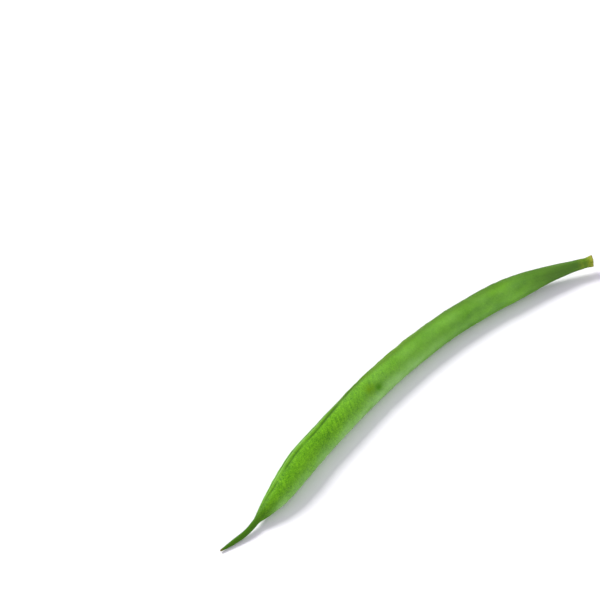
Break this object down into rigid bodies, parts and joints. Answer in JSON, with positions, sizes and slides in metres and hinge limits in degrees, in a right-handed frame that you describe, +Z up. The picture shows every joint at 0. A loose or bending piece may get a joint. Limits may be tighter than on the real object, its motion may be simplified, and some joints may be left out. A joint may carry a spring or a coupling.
{
  "type": "green bean",
  "caption": "Fresh green bean pod as picked, long, slender and gently bowed, with a curled beak and a short stalk stub, lying on its side.",
  "frame": {"origin": "middle of the bean's box in X and Y, on the surface that the bean lies on", "axes": "+X along the bean from the tip of its beak to its stalk stub, +Y towards the outside of its bow, +Z up"},
  "size_m": [0.1459, 0.0167, 0.0071],
  "materials": {
    "pod_skin": "fresh green pod skin with a soft satin sheen, fine mottling and a pale suture line",
    "stalk": "matt yellow-green stalk tissue with a pale dry break"
  },
  "bodies": {
    "root": {"pod": "pod_skin", "stem_stub": "stalk"}
  },
  "joints": []
}
